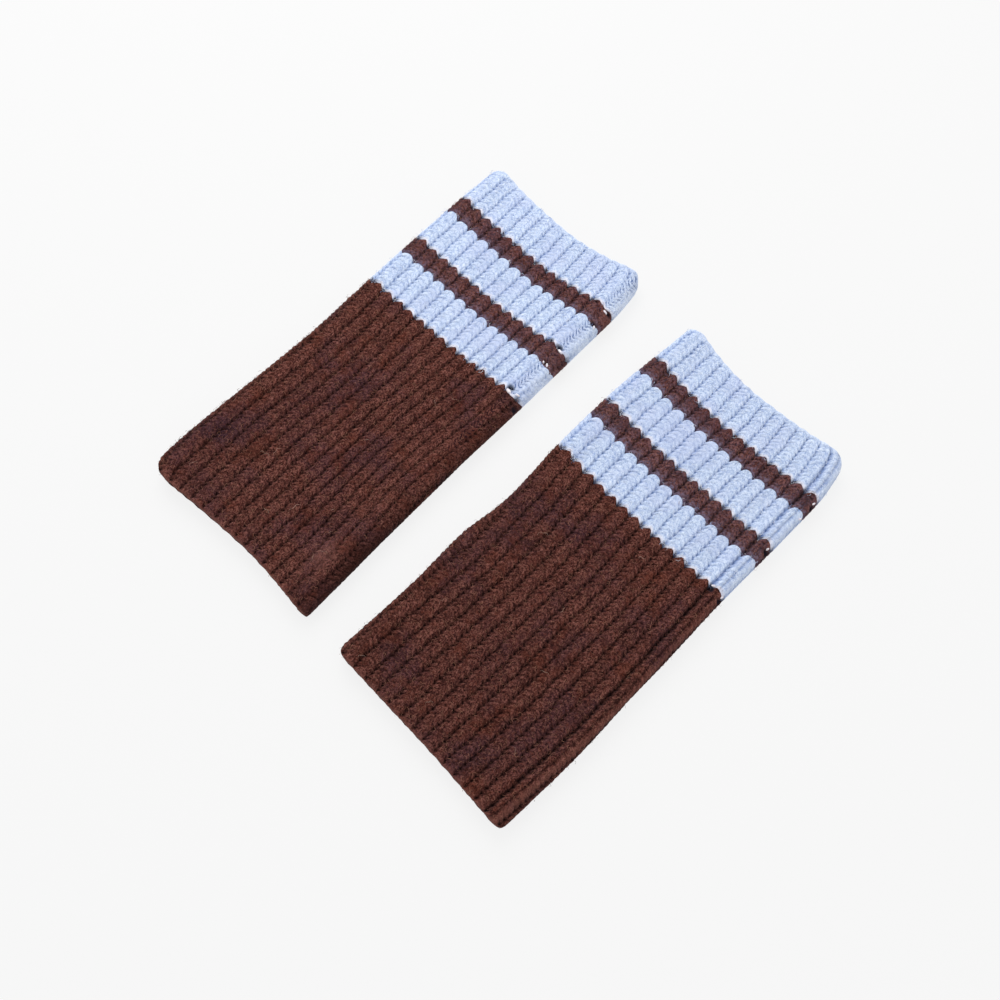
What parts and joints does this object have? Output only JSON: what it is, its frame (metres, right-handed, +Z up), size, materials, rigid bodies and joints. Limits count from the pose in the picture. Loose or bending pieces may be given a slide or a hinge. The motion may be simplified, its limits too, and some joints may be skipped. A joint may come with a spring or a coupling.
{
  "type": "pair of knitted wrist warmers",
  "caption": "Pair of rib-knit wool wrist warmers lying flat: open tubes with a pale blue cuff, brown and blue stripes and a long brown body.",
  "frame": {"origin": "on the surface that the pair lies on, under the middle of the pair's box", "axes": "+Y along both warmers towards their cuffs, +X from the left warmer to the right one, +Z up out of the surface"},
  "size_m": [0.2044, 0.2054, 0.0092],
  "materials": {
    "blue_wool": "brushed pale blue wool rib knit, heathered, matt",
    "brown_wool": "brushed dark brown wool rib knit, heathered, matt"
  },
  "bodies": {
    "root": {"left_cuff_band": "blue_wool", "left_upper_stripe": "brown_wool", "left_middle_band": "blue_wool", "left_lower_stripe": "brown_wool", "left_lower_band": "blue_wool", "left_body": "brown_wool", "right_cuff_band": "blue_wool", "right_upper_stripe": "brown_wool", "right_middle_band": "blue_wool", "right_lower_stripe": "brown_wool", "right_lower_band": "blue_wool", "right_body": "brown_wool"}
  },
  "joints": []
}
